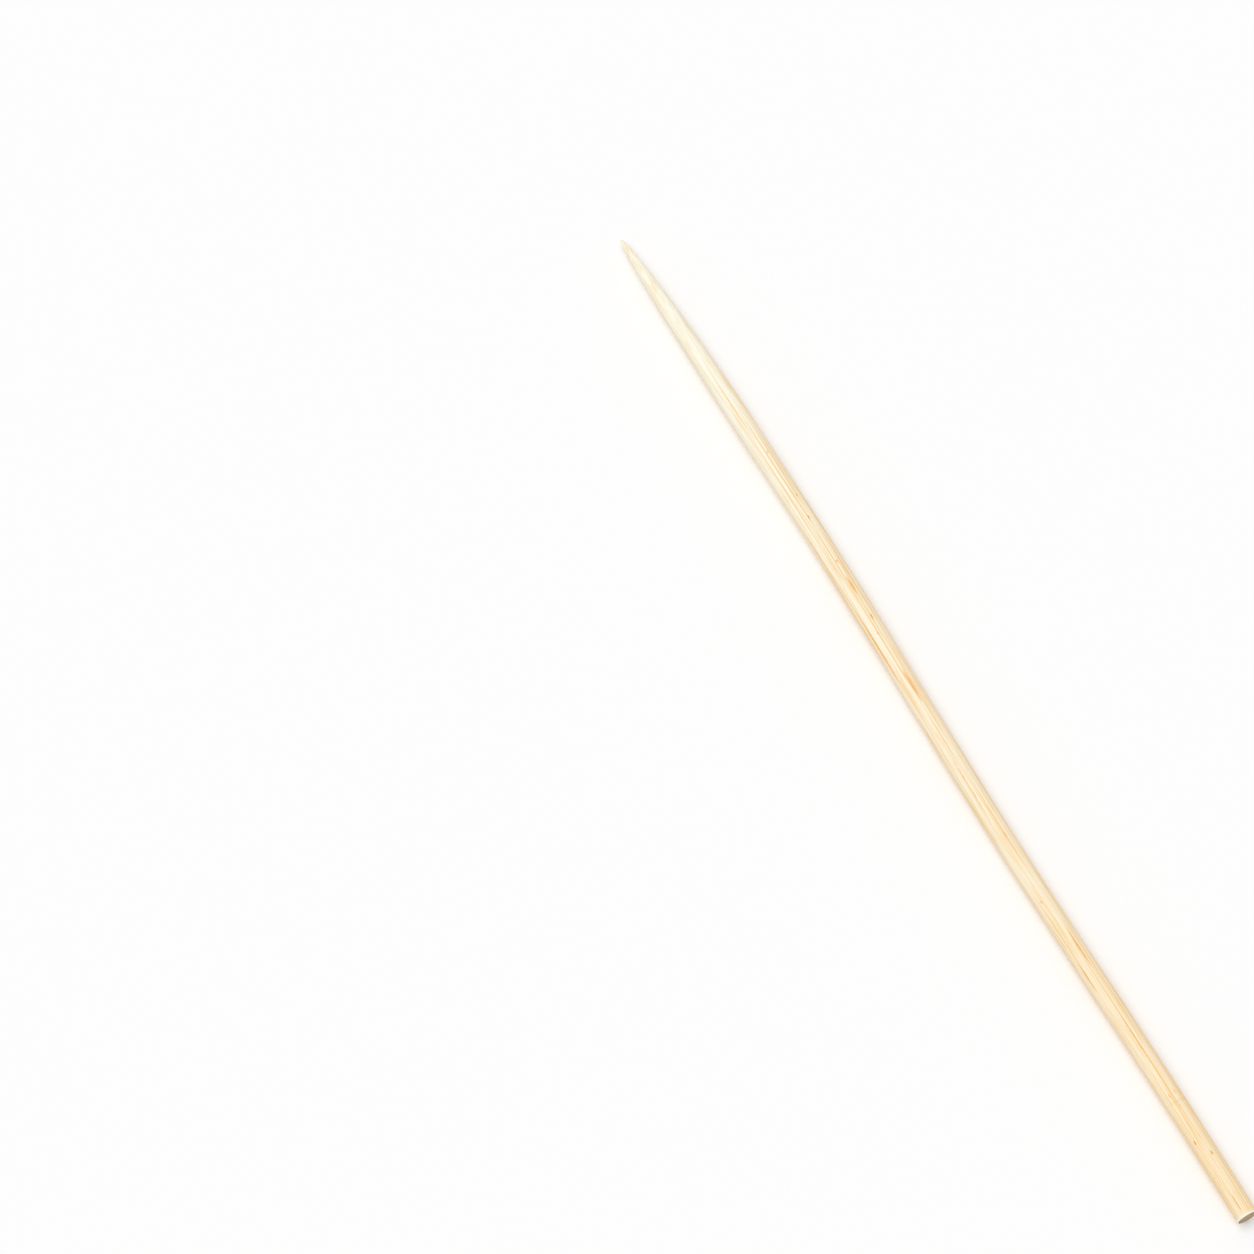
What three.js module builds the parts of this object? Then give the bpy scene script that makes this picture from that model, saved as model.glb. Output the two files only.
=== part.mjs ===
// Corn skewer: one bamboo stick, turned round, ground to a long point at one end and sawn square at the other.
// Millimetres, +Z up. The stick lies on the plane Z = 0, along X, with its point towards +X.
import * as THREE from "three";

// Driving dimensions of the stick.
const stickLength = 300;
const shaftWidth = 5.5; // widest diameter of the slightly oval shaft, across the bow
const shaftHeight = 5.36; // narrowest diameter, the way it lies on a table

// The ground point.
const pointLength = 60; // from the tip back to the full diameter
const pointFullness = 1.6; // 1 is a slim point and 2 an elliptical nose
const tipRadius = 0.28; // how blunt the very tip is
const apexOffset = 0.98; // the grinding left the tip this far to the +Y side of the shaft's middle line

// The sawn end.
const sawnEdgeRadius = 0.22;

// The joint of the cane, which shows on one side of the stick only.
const nodeFromSawnEnd = 33;
const nodeLength = 9;
const nodeSwelling = 0.07;
const scarWidth = 0.9;
const scarDepth = 0.05;
const nodeDirection = THREE.MathUtils.degToRad(75); // round the shaft from +Y, towards +Z

// The natural bow, in the plane of the table: the heights of one, two, three and four half waves.
const bowWaves = [0.03, 0.37, -0.14, -0.27];

// How finely the surface is divided.
const sidesRound = 32;
const shaftStep = 4.5;
const pointSteps = 22;
const tipSteps = 4;
const edgeSteps = 3;
const scarSteps = 6;

const shaftRadius = shaftWidth / 2;
const pointStart = stickLength - pointLength;

// How far into the ground point a place is: 0 on the shaft and 1 at the tip.
function intoPoint(along) {
  return Math.max(0, (along - pointStart) / pointLength);
}

// Radius of the ground point at a distance back from where its curve would meet the axis.
function pointRadius(fromApex) {
  const left = Math.max(0, 1 - fromApex / pointLength);
  return shaftRadius * Math.sqrt(1 - left ** pointFullness);
}

// The round end of the tip touches the point's curve. Near the apex that curve is a parabola, so the
// distance from the touching place to the arc's middle is the parabola's parameter.
function tipArc() {
  const parameter = (shaftRadius ** 2 * pointFullness) / (2 * pointLength);
  const touchRadius = Math.sqrt(Math.max(0, tipRadius ** 2 - parameter ** 2));
  const touch = touchRadius ** 2 / (2 * parameter);
  const middle = touch + parameter;
  return { touch, touchRadius, middle, lost: middle - tipRadius };
}

// Outline of one side, from the middle of the sawn end along the shaft to the tip: x is the radius and
// y the distance from the sawn end, as a lathe profile has them.
function turnedOutline() {
  const outline = [new THREE.Vector2(0, 0)];
  for (let i = 0; i <= edgeSteps; i++) {
    const turn = (i / edgeSteps) * (Math.PI / 2);
    const inset = sawnEdgeRadius * (1 - Math.sin(turn));
    const back = sawnEdgeRadius * (1 - Math.cos(turn));
    outline.push(new THREE.Vector2(shaftRadius - inset, back));
  }
  for (const along of shaftStations()) {
    outline.push(new THREE.Vector2(shaftRadius, along));
  }
  const arc = tipArc();
  const curveEnd = stickLength + arc.lost;
  for (let i = 0; i <= pointSteps; i++) {
    // The stations crowd together towards the tip, where the curve turns fastest.
    const share = (1 - i / pointSteps) ** 2;
    const fromApex = arc.touch + (pointLength - arc.touch) * share;
    outline.push(new THREE.Vector2(pointRadius(fromApex), curveEnd - fromApex));
  }
  const arcStart = Math.atan2(arc.touchRadius, arc.touch - arc.middle);
  for (let i = 1; i < tipSteps; i++) {
    const turn = THREE.MathUtils.lerp(arcStart, Math.PI, i / tipSteps);
    const radius = tipRadius * Math.sin(turn);
    outline.push(new THREE.Vector2(radius, curveEnd - arc.middle - tipRadius * Math.cos(turn)));
  }
  outline.push(new THREE.Vector2(0, stickLength));
  return outline;
}

// Where the shaft has a ring of vertices: even steps, and finer ones across the node's scar.
function shaftStations() {
  const steps = Math.round((pointStart - sawnEdgeRadius) / shaftStep);
  const stations = [];
  for (let i = 1; i < steps; i++) {
    stations.push(THREE.MathUtils.lerp(sawnEdgeRadius, pointStart, i / steps));
  }
  for (let i = 0; i <= scarSteps; i++) {
    stations.push(nodeFromSawnEnd + scarWidth * (i / scarSteps - 0.5));
  }
  const inOrder = stations.sort((a, b) => a - b);
  const closest = scarWidth / scarSteps / 2;
  return inOrder.filter((along, i) => i === 0 || along - inOrder[i - 1] > closest);
}

// A smooth hump: 1 in the middle, 0 from half its length outwards.
function hump(distance, length) {
  const share = Math.min(1, Math.abs(distance) / (length / 2));
  return (1 + Math.cos(Math.PI * share)) / 2;
}

// Height of the node over the turned shaft: a low swelling with a fine scar across it.
function nodeRelief(along, around) {
  const facing = Math.max(0, Math.cos(around - nodeDirection)) ** 2;
  const swelling = nodeSwelling * hump(along - nodeFromSawnEnd, nodeLength);
  const scar = scarDepth * hump(along - nodeFromSawnEnd, scarWidth);
  return facing * (swelling - scar);
}

// Sideways offset of the stick's middle line: the bow, and the tip that was ground off centre.
function sideways(along) {
  let offset = 0;
  bowWaves.forEach((height, i) => {
    offset += height * Math.sin((i + 1) * Math.PI * (along / stickLength));
  });
  return offset + apexOffset * intoPoint(along) ** 2;
}

// Turns the lathe's round body into the real stick: laid along X, a little oval, with its node and bow.
function shapeStick(geometry) {
  geometry.rotateZ(-Math.PI / 2);
  const position = geometry.getAttribute("position");
  for (let i = 0; i < position.count; i++) {
    const along = position.getX(i);
    // Grinding makes the section rounder towards the tip.
    const flattening = THREE.MathUtils.lerp(shaftHeight / shaftWidth, 1, intoPoint(along));
    const around = Math.atan2(position.getZ(i), position.getY(i));
    const radius = Math.hypot(position.getY(i), position.getZ(i));
    // A vertex on the axis has no side of its own, so the relief fades with the radius.
    const swollen = radius + nodeRelief(along, around) * (radius / shaftRadius);
    position.setY(i, swollen * Math.cos(around) + sideways(along));
    position.setZ(i, swollen * Math.sin(around) * flattening);
  }
  geometry.computeVertexNormals();
  return geometry;
}

const bamboo = new THREE.MeshStandardMaterial({ color: 0xf2dcb0, roughness: 0.6, metalness: 0 });

function makeSkewer() {
  // Half a side's turn lays the stick on a facet and not on an edge between two.
  const turned = new THREE.LatheGeometry(turnedOutline(), sidesRound, Math.PI / sidesRound);
  const skewer = new THREE.Mesh(shapeStick(turned), bamboo);
  skewer.name = "skewer";
  return skewer;
}

// The part's origin is the middle of the stick's box, on the table under it.
const cornSkewer = new THREE.Group();
cornSkewer.add(makeSkewer());
const box = new THREE.Box3().setFromObject(cornSkewer, true);
const middle = box.getCenter(new THREE.Vector3());
cornSkewer.children[0].position.set(-middle.x, -middle.y, -box.min.z);

export default cornSkewer;
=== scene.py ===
import math

import bpy
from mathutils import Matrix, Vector, noise


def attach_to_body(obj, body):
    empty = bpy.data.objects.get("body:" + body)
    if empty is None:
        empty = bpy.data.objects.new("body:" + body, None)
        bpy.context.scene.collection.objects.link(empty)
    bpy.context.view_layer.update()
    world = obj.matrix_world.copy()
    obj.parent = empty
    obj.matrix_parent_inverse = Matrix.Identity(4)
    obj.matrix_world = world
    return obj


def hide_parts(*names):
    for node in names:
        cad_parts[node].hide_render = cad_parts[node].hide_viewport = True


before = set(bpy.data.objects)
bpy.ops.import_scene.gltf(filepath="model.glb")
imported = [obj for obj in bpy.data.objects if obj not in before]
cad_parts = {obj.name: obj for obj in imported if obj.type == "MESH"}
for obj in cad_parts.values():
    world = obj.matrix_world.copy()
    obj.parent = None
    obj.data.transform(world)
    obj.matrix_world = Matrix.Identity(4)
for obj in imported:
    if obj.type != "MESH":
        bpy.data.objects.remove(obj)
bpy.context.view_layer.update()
print("frame loaded")

mm = 0.001

# the stick's own sizes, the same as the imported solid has
stick = {
    "length": 300 * mm,
    "width": 5.5 * mm,
    "height": 5.36 * mm,
    "pointLength": 60 * mm,
    "pointFullness": 1.6,
    "tipRadius": 0.28 * mm,
    "apexOffset": 0.98 * mm,
    "sawnEdge": 0.22 * mm,
    "nodePlace": 33 * mm,
    "nodeLength": 9 * mm,
    "nodeSwelling": 0.07 * mm,
    "scarWidth": 0.9 * mm,
    "scarDepth": 0.05 * mm,
    "nodeTurn": 75,  # degrees round the shaft from +Y towards +Z
    "bow": [0.03 * mm, 0.37 * mm, -0.14 * mm, -0.27 * mm],
    "solidSides": 32,  # the solid is faceted, and the fine stick lies just inside its facets
    "clearance": 0.002 * mm,
    "sides": 128,
    "shaftStep": 0.9 * mm,
    "pointSteps": 96,
    "tipSteps": 8,
    "edgeSteps": 6,
    "scarSteps": 10,
    "fibreDepth": 0.03 * mm,
    "fibreWidth": 0.42 * mm,
    "fibreLength": 16 * mm,
}

radius = stick["width"] / 2 * math.cos(math.pi / stick["solidSides"]) - stick["clearance"]
pointStart = stick["length"] - stick["pointLength"]
halfLength = stick["length"] / 2
axisHeight = stick["height"] / 2 * math.cos(math.pi / stick["solidSides"])


def intoPoint(along):
    return max(0.0, (along - pointStart) / stick["pointLength"])


def bowAt(along):
    turn = math.pi * along / stick["length"]
    return sum(height * math.sin((i + 1) * turn) for i, height in enumerate(stick["bow"]))


def sidewaysAt(along):
    return bowAt(along) + stick["apexOffset"] * intoPoint(along) ** 2


def flatteningAt(along):
    oval = stick["height"] / stick["width"]
    return oval + (1 - oval) * intoPoint(along)


def hump(distance, length):
    share = min(1.0, abs(distance) / (length / 2))
    return (1 + math.cos(math.pi * share)) / 2


def pointRadius(fromApex):
    left = max(0.0, 1 - fromApex / stick["pointLength"])
    return radius * math.sqrt(1 - left ** stick["pointFullness"])


def turnedSections():
    # (distance from the sawn end, radius) of every ring, from the rounded saw edge to the blunt tip
    sections = []
    edge = stick["sawnEdge"]
    for i in range(stick["edgeSteps"] + 1):
        turn = math.pi / 2 * i / stick["edgeSteps"]
        sections.append((edge * (1 - math.cos(turn)), radius - edge * (1 - math.sin(turn))))
    places = []
    steps = round((pointStart - edge) / stick["shaftStep"])
    for i in range(1, steps):
        places.append(edge + (pointStart - edge) * i / steps)
    for i in range(stick["scarSteps"] + 1):
        places.append(stick["nodePlace"] + stick["scarWidth"] * (i / stick["scarSteps"] - 0.5))
    closest = stick["scarWidth"] / stick["scarSteps"] / 2
    last = edge
    for place in sorted(places):
        if place - last > closest:
            sections.append((place, radius))
            last = place
    # the tip's arc touches the curve of the point, which is a parabola near its apex
    parameter = radius ** 2 * stick["pointFullness"] / (2 * stick["pointLength"])
    tip = stick["tipRadius"]
    touchRadius = math.sqrt(tip ** 2 - parameter ** 2)
    touch = touchRadius ** 2 / (2 * parameter)
    arcMiddle = touch + parameter
    curveEnd = stick["length"] + arcMiddle - tip
    for i in range(stick["pointSteps"] + 1):
        share = (1 - i / stick["pointSteps"]) ** 2
        fromApex = touch + (stick["pointLength"] - touch) * share
        sections.append((curveEnd - fromApex, pointRadius(fromApex)))
    arcStart = math.atan2(touchRadius, touch - arcMiddle)
    for i in range(1, stick["tipSteps"]):
        turn = arcStart + (math.pi - arcStart) * i / stick["tipSteps"]
        sections.append((curveEnd - arcMiddle - tip * math.cos(turn), tip * math.sin(turn)))
    return sections


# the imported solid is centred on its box, so the middle line starts a little to one side
middleShift = -0.0392 * mm


def middleOf(along):
    shift = sidewaysAt(along) + middleShift
    return Vector((along - halfLength, shift, axisHeight))


def turnStick():
    # a disc the size of the saw cut is drawn out along the stick, ring by ring
    bpy.ops.object.select_all(action="DESELECT")
    sections = turnedSections()
    along, size = sections[0]
    bpy.ops.mesh.primitive_circle_add(
        vertices=stick["sides"],
        radius=size,
        fill_type="NGON",
        location=middleOf(along),
        rotation=(0, math.pi / 2, 0),
    )
    piece = bpy.context.object
    piece.name = "bambooStick"
    bpy.ops.object.transform_apply(location=True, rotation=True, scale=True)
    bpy.ops.object.mode_set(mode="EDIT")
    bpy.ops.mesh.select_all(action="SELECT")
    flat = flatteningAt(along)
    bpy.ops.transform.resize(value=(1, 1, flat), center_override=middleOf(along))
    for nextAlong, nextSize in sections[1:]:
        step = middleOf(nextAlong) - middleOf(along)
        bpy.ops.mesh.extrude_region_move(TRANSFORM_OT_translate={"value": step})
        wider = nextSize / size
        higher = wider * flatteningAt(nextAlong) / flat
        bpy.ops.transform.resize(value=(1, wider, higher), center_override=middleOf(nextAlong))
        along, size, flat = nextAlong, nextSize, flatteningAt(nextAlong)
    step = middleOf(stick["length"]) - middleOf(along)
    bpy.ops.mesh.extrude_region_move(TRANSFORM_OT_translate={"value": step})
    bpy.ops.mesh.merge(type="CENTER")
    bpy.ops.mesh.select_all(action="SELECT")
    bpy.ops.mesh.normals_make_consistent(inside=False)
    bpy.ops.object.mode_set(mode="OBJECT")
    return piece


def storeGrain(piece):
    # where each point lay in the straight cane: the fibres follow the bow but not the ground point
    grain = piece.data.attributes.new("grain", "FLOAT_VECTOR", "POINT")
    for vertex, place in zip(piece.data.vertices, grain.data):
        along = vertex.co.x + halfLength
        across = vertex.co.y - middleShift - bowAt(along)
        place.vector = (along, across, vertex.co.z - axisHeight)


def displaceBy(piece, name, weightAt, depth):
    # a vertex group says where, a Displace modifier says how deep, and it is applied at once
    group = piece.vertex_groups.new(name=name)
    grain = piece.data.attributes["grain"].data
    for vertex in piece.data.vertices:
        weight = weightAt(grain[vertex.index].vector)
        if weight > 0.001:
            group.add([vertex.index], min(1.0, weight), "REPLACE")
    relief = piece.modifiers.new(name, "DISPLACE")
    relief.vertex_group = name
    relief.direction = "NORMAL"
    relief.mid_level = 0
    relief.strength = depth
    bpy.context.view_layer.objects.active = piece
    bpy.ops.object.modifier_apply(modifier=name)


def facingNode(place):
    around = math.atan2(place.z, place.y)
    return max(0.0, math.cos(around - math.radians(stick["nodeTurn"]))) ** 2


def nodeWeight(place):
    return facingNode(place) * hump(place.x - stick["nodePlace"], stick["nodeLength"])


def scarWeight(place):
    return facingNode(place) * hump(place.x - stick["nodePlace"], stick["scarWidth"])


def fibreWeight(place):
    # long grooves between the bundles, deepest where the noise dips furthest
    wide = stick["fibreWidth"]
    spot = Vector((place.x / stick["fibreLength"], place.y / wide, place.z / wide))
    fade = min(1.0, place.yz.length / (radius * 0.5))
    return max(0.0, noise.noise(spot)) * fade


def newMaterial(name):
    material = bpy.data.materials.new(name)
    material.use_nodes = True
    nodes = material.node_tree.nodes
    nodes.clear()
    output = nodes.new("ShaderNodeOutputMaterial")
    surface = nodes.new("ShaderNodeBsdfPrincipled")
    material.node_tree.links.new(surface.outputs["BSDF"], output.inputs["Surface"])
    return material, material.node_tree, surface


def attach(tree, source, target):
    tree.links.new(source, target)


def mathNode(tree, operation, first, second=None, clamp=False):
    node = tree.nodes.new("ShaderNodeMath")
    node.operation = operation
    node.use_clamp = clamp
    for socket, value in zip(node.inputs, (first, second)):
        if value is None:
            continue
        if isinstance(value, (int, float)):
            socket.default_value = value
        else:
            attach(tree, value, socket)
    return node.outputs[0]


def stretched(tree, vector, lengthwise, across):
    # divides the grain place by a fibre's length and width
    node = tree.nodes.new("ShaderNodeVectorMath")
    node.operation = "DIVIDE"
    attach(tree, vector, node.inputs[0])
    node.inputs[1].default_value = (lengthwise, across, across)
    return node.outputs["Vector"]


def noiseNode(tree, vector, detail=2.0, roughness=0.5):
    node = tree.nodes.new("ShaderNodeTexNoise")
    node.inputs["Scale"].default_value = 1
    node.inputs["Detail"].default_value = detail
    node.inputs["Roughness"].default_value = roughness
    attach(tree, vector, node.inputs["Vector"])
    return node.outputs["Fac"]


def between(tree, value, low, high, toLow=0.0, toHigh=1.0, smooth=True):
    node = tree.nodes.new("ShaderNodeMapRange")
    node.interpolation_type = "SMOOTHSTEP" if smooth else "LINEAR"
    attach(tree, value, node.inputs["Value"])
    node.inputs["From Min"].default_value = low
    node.inputs["From Max"].default_value = high
    node.inputs["To Min"].default_value = toLow
    node.inputs["To Max"].default_value = toHigh
    return node.outputs["Result"]


def mixColour(tree, factor, first, second, blend="MIX"):
    node = tree.nodes.new("ShaderNodeMix")
    node.data_type = "RGBA"
    node.blend_type = blend
    sockets = {s.identifier: s for s in node.inputs}
    for name, value in (("Factor_Float", factor), ("A_Color", first), ("B_Color", second)):
        if isinstance(value, (int, float)):
            sockets[name].default_value = value
        elif isinstance(value, tuple):
            sockets[name].default_value = (*value, 1)
        else:
            attach(tree, value, sockets[name])
    return next(s for s in node.outputs if s.identifier == "Result_Color")


def addBump(tree, surface, height, strength, distance):
    bump = tree.nodes.new("ShaderNodeBump")
    bump.inputs["Strength"].default_value = strength
    bump.inputs["Distance"].default_value = distance
    attach(tree, height, bump.inputs["Height"])
    attach(tree, bump.outputs["Normal"], surface.inputs["Normal"])


def grainPlace(tree):
    node = tree.nodes.new("ShaderNodeAttribute")
    node.attribute_name = "grain"
    return node.outputs["Vector"]


def warped(tree, vector, amount):
    # shifts a place a little by fine noise, so that outlines drawn with it turn ragged
    lengthwise, across = 1.2 * mm, 0.35 * mm
    ragged = tree.nodes.new("ShaderNodeTexNoise")
    ragged.inputs["Scale"].default_value = 1
    attach(tree, stretched(tree, vector, lengthwise, across), ragged.inputs["Vector"])
    move = tree.nodes.new("ShaderNodeVectorMath")
    move.operation = "MULTIPLY_ADD"
    attach(tree, ragged.outputs["Color"], move.inputs[0])
    move.inputs[1].default_value = (2 * amount, amount, amount)
    move.inputs[2].default_value = (-amount, -amount / 2, -amount / 2)
    place = tree.nodes.new("ShaderNodeVectorMath")
    attach(tree, vector, place.inputs[0])
    attach(tree, move.outputs["Vector"], place.inputs[1])
    return place.outputs["Vector"]


# how the cane's bundles are drawn, in lengths and widths of one bundle
bundleForm = {
    "randomness": 0.9,
    "core": 0.14,  # a bundle is darkest up to here from its middle
    "rim": 0.42,  # and ends here
    "finePerBundle": (3.0, 2.4, 2.4),
    "groundPerBundle": (0.5, 0.42, 0.42),
}


def makeBundleGroup():
    # the cane's vascular bundles: long darker cords in a paler ground, cut as lines or as dots
    group = bpy.data.node_groups.new("caneBundles", "ShaderNodeTree")
    sockets = group.interface
    sockets.new_socket("Grain", in_out="INPUT", socket_type="NodeSocketVector")
    sockets.new_socket("Bundle Length", in_out="INPUT", socket_type="NodeSocketFloat")
    sockets.new_socket("Bundle Width", in_out="INPUT", socket_type="NodeSocketFloat")
    sockets.new_socket("Bundle", in_out="OUTPUT", socket_type="NodeSocketFloat")
    sockets.new_socket("Fine Fibre", in_out="OUTPUT", socket_type="NodeSocketFloat")
    sockets.new_socket("Ground", in_out="OUTPUT", socket_type="NodeSocketFloat")
    start = group.nodes.new("NodeGroupInput")
    end = group.nodes.new("NodeGroupOutput")
    size = group.nodes.new("ShaderNodeCombineXYZ")
    attach(group, start.outputs["Bundle Length"], size.inputs["X"])
    attach(group, start.outputs["Bundle Width"], size.inputs["Y"])
    attach(group, start.outputs["Bundle Width"], size.inputs["Z"])
    divide = group.nodes.new("ShaderNodeVectorMath")
    divide.operation = "DIVIDE"
    attach(group, start.outputs["Grain"], divide.inputs[0])
    attach(group, size.outputs["Vector"], divide.inputs[1])
    cells = group.nodes.new("ShaderNodeTexVoronoi")
    cells.inputs["Scale"].default_value = 1
    cells.inputs["Randomness"].default_value = bundleForm["randomness"]
    attach(group, divide.outputs["Vector"], cells.inputs["Vector"])
    core, rim = bundleForm["core"], bundleForm["rim"]
    attach(group, between(group, cells.outputs["Distance"], core, rim, 1.0, 0.0), end.inputs["Bundle"])
    thin = group.nodes.new("ShaderNodeVectorMath")
    thin.operation = "MULTIPLY"
    attach(group, divide.outputs["Vector"], thin.inputs[0])
    thin.inputs[1].default_value = bundleForm["finePerBundle"]
    attach(group, noiseNode(group, thin.outputs["Vector"], 3, 0.6), end.inputs["Fine Fibre"])
    broad = group.nodes.new("ShaderNodeVectorMath")
    broad.operation = "MULTIPLY"
    attach(group, divide.outputs["Vector"], broad.inputs[0])
    broad.inputs[1].default_value = bundleForm["groundPerBundle"]
    attach(group, noiseNode(group, broad.outputs["Vector"], 2, 0.5), end.inputs["Ground"])
    return group


def useBundles(tree, group, length, width):
    node = tree.nodes.new("ShaderNodeGroup")
    node.node_tree = group
    attach(tree, grainPlace(tree), node.inputs["Grain"])
    node.inputs["Bundle Length"].default_value = length
    node.inputs["Bundle Width"].default_value = width
    return node


# colours and marks of the stick's side
skin = {
    "tipTone": (0.99, 0.975, 0.825),
    "middleTone": (0.99, 0.905, 0.71),
    "sawnTone": (0.99, 0.84, 0.59),
    "middleFrom": 140 * mm,  # where the sawn end's tone has gone over into the middle's
    "tipFrom": 150 * mm,  # and where the middle's goes over into the tip's
    "tipTo": 260 * mm,
    "paleEdgeAndHighlightTone": (0.99, 0.95, 0.82),  # pale fresh fibres at the saw cut, brightened into a painted highlight where the rounded edge catches the light
    "paleEdgeAndHighlightWidth": 1.1 * mm,
    "warmTone": (0.97, 0.74, 0.44),
    "bundleTone": (0.95, 0.56, 0.17),
    "fibreTone": (0.95, 0.61, 0.22),
    "markTone": (0.90, 0.40, 0.06),
    "streakTone": (0.92, 0.48, 0.13),
    "scarTone": (0.62, 0.42, 0.20),
    "bundleLength": 55 * mm,
    "bundleWidth": 0.5 * mm,
    "tipCalm": 0.55,  # how much of the fibre lines is left at the tip
    "litSideTurn": 70,  # degrees from +Y towards +Z: the cane's lit top, which the painted shade leaves palest
    "paintedShadeTint": (1.0, 0.90, 0.83),  # painted warm shade: the cane is tinted golden where it turns away from that lit side
    "warmth": 0.25,  # how far the broad warm patches go
    "warmthAtTip": 0.1,
    "faintBundle": 0.75,
    "strongBundle": 1.0,
    "calmFrom": 190 * mm,
    "calmTo": 270 * mm,
    "streakStrength": 0.95,
    "spotStrength": 0.9,
    "scarStrength": 0.12,
    "scarRagged": 0.5 * mm,
    "scarCore": 0.1 * mm,
    "scarRim": 0.55 * mm,
    "scarFrom": 0.3 * mm,  # height over the middle line where the scar starts to show
    "scarTo": 2.4 * mm,
    "paleEdgeAndHighlightStrength": 0.85,
    "warp": 0.3 * mm,  # how ragged the marks are
    "roughness": 0.6,
    "fibreRoughness": 0.16,
    "specular": 0.3,
    "bundleRise": 0.4,
    "bumpStrength": 0.35,
    "bumpDistance": 0.03 * mm,
    # distance from the sawn end, turn in degrees from +Y towards +Z, length and width in mm
    "spots": [
        (229.9, 101, 1.2, 0.5),
        (216.1, 110, 1.0, 0.5),
        (209.5, 98, 1.8, 0.6),
        (195.7, 98, 1.2, 0.5),
        (178.6, 101, 2.6, 0.6),
        (174, 82, 1.4, 0.55),
        (112.6, 96, 2.2, 0.6),
        (93, 63, 1.2, 0.55),
        (35, 70, 1.6, 0.35),
        (35.6, 108, 2.0, 0.35),
        (31.9, 92, 1.4, 0.3),
        (21.9, 50, 1.6, 0.75),
        (17.7, 99, 1.5, 0.8),
        (268, 250, 1.2, 0.4),
        (206, 215, 1.4, 0.5),
        (171, 305, 1.8, 0.45),
        (139, 188, 1.2, 0.5),
        (88, 262, 1.6, 0.5),
        (47, 330, 1.2, 0.45),
    ],
    "streaks": [
        (188.2, 97, 7.5, 0.85),
        (158, 92, 14, 0.85),
        (170, 40, 30, 0.75),
        (78.7, 99, 14, 0.65),
        (71.1, 47, 12, 0.65),
        (3.9, 68, 8, 0.5),
        (128, 70, 26, 0.35),
        (52, 84, 18, 0.4),
        (250, 75, 22, 0.35),
        (236, 330, 24, 0.45),
        (196, 262, 30, 0.5),
        (150, 225, 20, 0.5),
        (112, 318, 28, 0.45),
        (66, 205, 24, 0.5),
        (24, 285, 16, 0.45),
    ],
}


def markMask(tree, marks):
    # one mask from every mark in the list, each a lens along the grain with a ragged outline
    grain = warped(tree, grainPlace(tree), skin["warp"])
    total = None
    for along, turn, length, width in marks:
        around = math.radians(turn)
        away = tree.nodes.new("ShaderNodeVectorMath")
        away.operation = "SUBTRACT"
        attach(tree, grain, away.inputs[0])
        away.inputs[1].default_value = (along * mm, radius * math.cos(around), radius * math.sin(around))
        scaled = stretched(tree, away.outputs["Vector"], length * mm / 2, width * mm / 2)
        reach = tree.nodes.new("ShaderNodeVectorMath")
        reach.operation = "LENGTH"
        attach(tree, scaled, reach.inputs[0])
        mask = between(tree, reach.outputs["Value"], 0.35, 1.0, 1.0, 0.0)
        total = mask if total is None else mathNode(tree, "MAXIMUM", total, mask)
    return total


def paintedShadeSide(tree):
    # painted shade: 0 on the lit top of the cane and 1 where it turns away from the light
    flat = tree.nodes.new("ShaderNodeVectorMath")
    flat.operation = "MULTIPLY"
    attach(tree, grainPlace(tree), flat.inputs[0])
    flat.inputs[1].default_value = (0, 1, 1)
    unit = tree.nodes.new("ShaderNodeVectorMath")
    unit.operation = "NORMALIZE"
    attach(tree, flat.outputs["Vector"], unit.inputs[0])
    facing = tree.nodes.new("ShaderNodeVectorMath")
    facing.operation = "DOT_PRODUCT"
    attach(tree, unit.outputs["Vector"], facing.inputs[0])
    around = math.radians(skin["litSideTurn"])
    facing.inputs[1].default_value = (0, math.cos(around), math.sin(around))
    return between(tree, facing.outputs["Value"], 0.2, 1.0, 1.0, 0.0)


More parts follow.
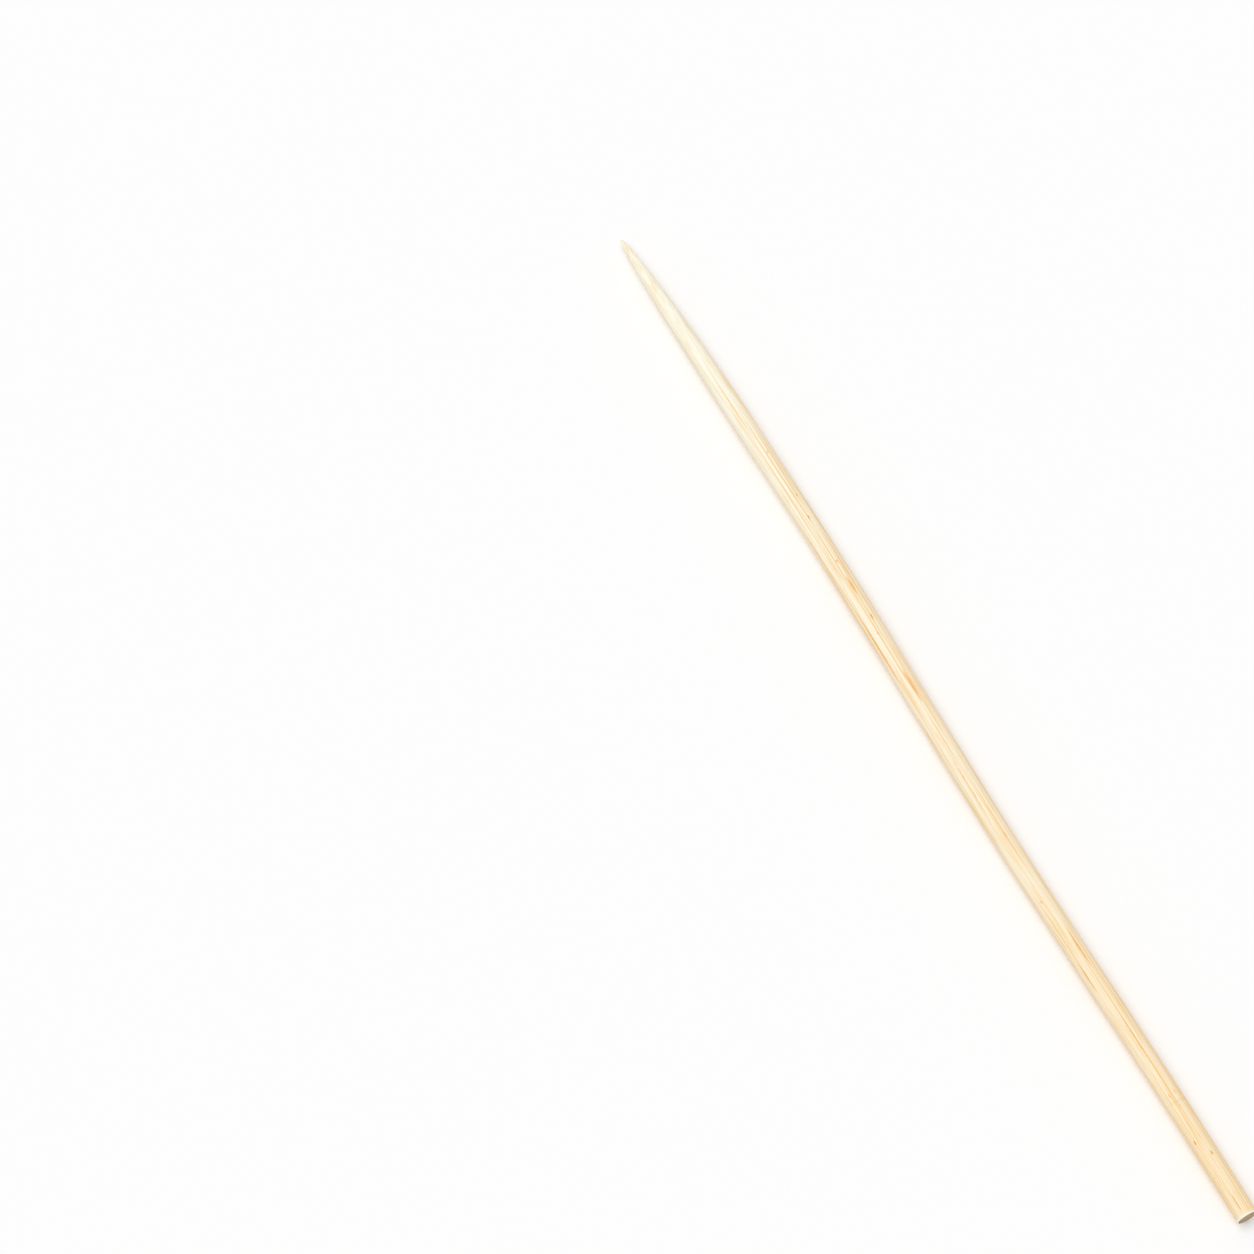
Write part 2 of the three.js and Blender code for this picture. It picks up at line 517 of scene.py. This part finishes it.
def makeSkin(bundles):
    material, tree, surface = newMaterial("bambooSkin")
    cane = useBundles(tree, bundles, skin["bundleLength"], skin["bundleWidth"])
    split = tree.nodes.new("ShaderNodeSeparateXYZ")
    attach(tree, grainPlace(tree), split.inputs[0])
    towardsMiddle = between(tree, split.outputs["X"], 0, skin["middleFrom"])
    colour = mixColour(tree, towardsMiddle, skin["sawnTone"], skin["middleTone"])
    towardsTip = between(tree, split.outputs["X"], skin["tipFrom"], skin["tipTo"])
    colour = mixColour(tree, towardsTip, colour, skin["tipTone"])
    # painted shade: the sides turned away from the light are tinted golden, in place of warm light bounced
    # between sticks
    colour = mixColour(tree, paintedShadeSide(tree), colour, skin["paintedShadeTint"], "MULTIPLY")
    warm = between(tree, cane.outputs["Ground"], 0.42, 0.72)
    far, near = skin["calmFrom"], skin["calmTo"]
    fading = between(tree, split.outputs["X"], far, near, skin["warmth"], skin["warmthAtTip"])
    warm = mathNode(tree, "MULTIPLY", warm, fading)
    colour = mixColour(tree, warm, colour, skin["warmTone"])
    # some bundles are strong golden lines and others hardly show
    calm = between(tree, split.outputs["X"], far, near, 1.0, skin["tipCalm"])
    faint, strong = skin["faintBundle"], skin["strongBundle"]
    strength = between(tree, cane.outputs["Ground"], 0.35, 0.62, faint, strong)
    bundle = mathNode(tree, "MULTIPLY", cane.outputs["Bundle"], mathNode(tree, "MULTIPLY", strength, calm))
    colour = mixColour(tree, bundle, colour, skin["bundleTone"])
    fine = mathNode(tree, "MULTIPLY", between(tree, cane.outputs["Fine Fibre"], 0.5, 0.66), calm)
    colour = mixColour(tree, fine, colour, skin["fibreTone"])
    streaks = mathNode(tree, "MULTIPLY", markMask(tree, skin["streaks"]), skin["streakStrength"])
    colour = mixColour(tree, streaks, colour, skin["streakTone"])
    spots = mathNode(tree, "MULTIPLY", markMask(tree, skin["spots"]), skin["spotStrength"])
    colour = mixColour(tree, spots, colour, skin["markTone"])
    # the node's scar is a thin ragged line across one side
    bent = tree.nodes.new("ShaderNodeSeparateXYZ")
    attach(tree, warped(tree, grainPlace(tree), skin["scarRagged"]), bent.inputs[0])
    fromScar = mathNode(tree, "ABSOLUTE", mathNode(tree, "SUBTRACT", bent.outputs["X"], stick["nodePlace"]))
    scar = between(tree, fromScar, skin["scarCore"], skin["scarRim"], 1.0, 0.0)
    topSide = between(tree, split.outputs["Z"], skin["scarFrom"], skin["scarTo"])
    scarMask = mathNode(tree, "MULTIPLY", mathNode(tree, "MULTIPLY", scar, topSide), skin["scarStrength"])
    colour = mixColour(tree, scarMask, colour, skin["scarTone"])
    # a pale band by the saw cut: partly fresh pale fibres, partly a painted highlight along the rounded
    # edge
    start, width = stick["sawnEdge"], skin["paleEdgeAndHighlightWidth"]
    edge = between(tree, bent.outputs["X"], start, width, skin["paleEdgeAndHighlightStrength"], 0.0)
    colour = mixColour(tree, edge, colour, skin["paleEdgeAndHighlightTone"])
    attach(tree, colour, surface.inputs["Base Color"])
    surface.inputs["Specular IOR Level"].default_value = skin["specular"]
    fibreRough = mathNode(tree, "MULTIPLY", fine, skin["fibreRoughness"])
    attach(tree, mathNode(tree, "ADD", fibreRough, skin["roughness"]), surface.inputs["Roughness"])
    raised = mathNode(tree, "MULTIPLY", cane.outputs["Bundle"], skin["bundleRise"])
    height = mathNode(tree, "SUBTRACT", raised, fine)
    addBump(tree, surface, height, skin["bumpStrength"], skin["bumpDistance"])
    return material


# the saw cut shows the bundles end on
sawCut = {
    "groundTone": (0.50, 0.325, 0.17),
    "paleTone": (0.96, 0.86, 0.66),
    "bundleTone": (0.24, 0.14, 0.07),
    "rimShadeTone": (0.25, 0.14, 0.07),  # painted shade: a dark ring just inside the rounded rim of the saw cut
    "bundleLength": 4000 * mm,
    "bundleWidth": 0.42 * mm,
    "rimShadeWidth": 0.42 * mm,
    "fibrePaleness": 0.15,
    "bundleStrength": 0.8,
    "roughness": 0.82,
    "sawStep": 0.35 * mm,
    "sawRise": 0.25,
    "bumpStrength": 0.5,
    "bumpDistance": 0.05 * mm,
}


def makeSawCut(bundles):
    material, tree, surface = newMaterial("bambooSawCut")
    cane = useBundles(tree, bundles, sawCut["bundleLength"], sawCut["bundleWidth"])
    paler = mathNode(tree, "MULTIPLY", cane.outputs["Fine Fibre"], sawCut["fibrePaleness"])
    colour = mixColour(tree, paler, sawCut["groundTone"], sawCut["paleTone"])
    bundle = mathNode(tree, "MULTIPLY", cane.outputs["Bundle"], sawCut["bundleStrength"])
    colour = mixColour(tree, bundle, colour, sawCut["bundleTone"])
    split = tree.nodes.new("ShaderNodeSeparateXYZ")
    attach(tree, grainPlace(tree), split.inputs[0])
    flat = tree.nodes.new("ShaderNodeCombineXYZ")
    attach(tree, split.outputs["Y"], flat.inputs["Y"])
    attach(tree, split.outputs["Z"], flat.inputs["Z"])
    reach = tree.nodes.new("ShaderNodeVectorMath")
    reach.operation = "LENGTH"
    attach(tree, flat.outputs["Vector"], reach.inputs[0])
    # painted shade: a dark ring is drawn just inside the rounded rim
    ringEnd = radius - stick["sawnEdge"]
    paintedRimShade = between(tree, reach.outputs["Value"], ringEnd - sawCut["rimShadeWidth"], ringEnd)
    colour = mixColour(tree, paintedRimShade, colour, sawCut["rimShadeTone"])
    attach(tree, colour, surface.inputs["Base Color"])
    surface.inputs["Roughness"].default_value = sawCut["roughness"]
    phase = mathNode(tree, "DIVIDE", split.outputs["Z"], sawCut["sawStep"] / (2 * math.pi))
    saw = mathNode(tree, "SINE", phase)
    raised = mathNode(tree, "MULTIPLY", saw, sawCut["sawRise"])
    height = mathNode(tree, "SUBTRACT", raised, cane.outputs["Bundle"])
    addBump(tree, surface, height, sawCut["bumpStrength"], sawCut["bumpDistance"])
    return material


piece = turnStick()
print("stick turned:", len(piece.data.vertices), "points")
storeGrain(piece)
displaceBy(piece, "nodeSwelling", nodeWeight, stick["nodeSwelling"])
displaceBy(piece, "nodeScar", scarWeight, -stick["scarDepth"])
displaceBy(piece, "fibreGrooves", fibreWeight, -stick["fibreDepth"])
bpy.ops.object.select_all(action="DESELECT")
piece.select_set(True)
bpy.ops.object.shade_smooth_by_angle(angle=math.radians(40))
print("relief cut")

bundleGroup = makeBundleGroup()
piece.data.materials.append(makeSkin(bundleGroup))
piece.data.materials.append(makeSawCut(bundleGroup))
for face in piece.data.polygons:
    if face.normal.x < -0.9:
        face.material_index = 1
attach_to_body(piece, "root")
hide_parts("skewer")
print("bamboo finished")

# floor, light and camera
studio = {
    "floorSize": 6,
    "floorSeen": 1.0,  # how pale the floor is to the camera, and below it how much light it gives back
    "floorBounce": 0.9,
    "floorRoughness": 0.9,
    "ambient": 0.757,
    "skylightPlace": (0.15, 0.2, 1.0),
    "skylightSpread": 60,  # degrees: a wide even light, as from a big diffuser
    "skylightStrength": 1.235,
    "cameraPlace": (-512.95 * mm, 383.25 * mm, 1667.7 * mm),
    "azimuth": 239.913,
    "elevation": 68.396,
    "lens": 206.51,
}


def makeFloor():
    bpy.ops.object.select_all(action="DESELECT")
    bpy.ops.mesh.primitive_grid_add(x_subdivisions=8, y_subdivisions=8, size=studio["floorSize"])
    floor = bpy.context.object
    floor.name = "paleFloor"
    material, tree, surface = newMaterial("paleFloor")
    path = tree.nodes.new("ShaderNodeLightPath")
    seen = (studio["floorSeen"],) * 3
    bounce = (studio["floorBounce"],) * 3
    attach(tree, mixColour(tree, path.outputs["Is Camera Ray"], bounce, seen), surface.inputs["Base Color"])
    surface.inputs["Roughness"].default_value = studio["floorRoughness"]
    surface.inputs["Specular IOR Level"].default_value = 0
    floor.data.materials.append(material)


def makeWorld():
    world = bpy.data.worlds.new("softRoom")
    bpy.context.scene.world = world
    world.use_nodes = True
    tree = world.node_tree
    tree.nodes.clear()
    output = tree.nodes.new("ShaderNodeOutputWorld")
    background = tree.nodes.new("ShaderNodeBackground")
    path = tree.nodes.new("ShaderNodeLightPath")
    direct = mathNode(tree, "MAXIMUM", path.outputs["Is Camera Ray"], path.outputs["Is Glossy Ray"])
    direct = mathNode(tree, "MAXIMUM", direct, path.outputs["Is Transmission Ray"])
    strength = between(tree, direct, 0, 1, studio["ambient"], 1.0, smooth=False)
    attach(tree, strength, background.inputs["Strength"])
    attach(tree, background.outputs["Background"], output.inputs["Surface"])


def makeSkylight():
    bpy.ops.object.light_add(type="SUN", location=studio["skylightPlace"])
    lamp = bpy.context.object
    lamp.name = "skylight"
    lamp.data.angle = math.radians(studio["skylightSpread"])
    lamp.data.energy = studio["skylightStrength"]
    lamp.rotation_euler = Vector(studio["skylightPlace"]).to_track_quat("Z", "Y").to_euler()


def makeCamera():
    turn = (math.radians(90 - studio["elevation"]), 0, math.radians(studio["azimuth"]))
    bpy.ops.object.camera_add(location=studio["cameraPlace"], rotation=turn)
    camera = bpy.context.object
    camera.data.sensor_width = 36
    camera.data.sensor_fit = "HORIZONTAL"
    camera.data.lens = studio["lens"]
    bpy.context.scene.camera = camera


makeFloor()
makeWorld()
makeSkylight()
makeCamera()
bpy.context.scene.view_settings.view_transform = "Standard"
print("studio set")
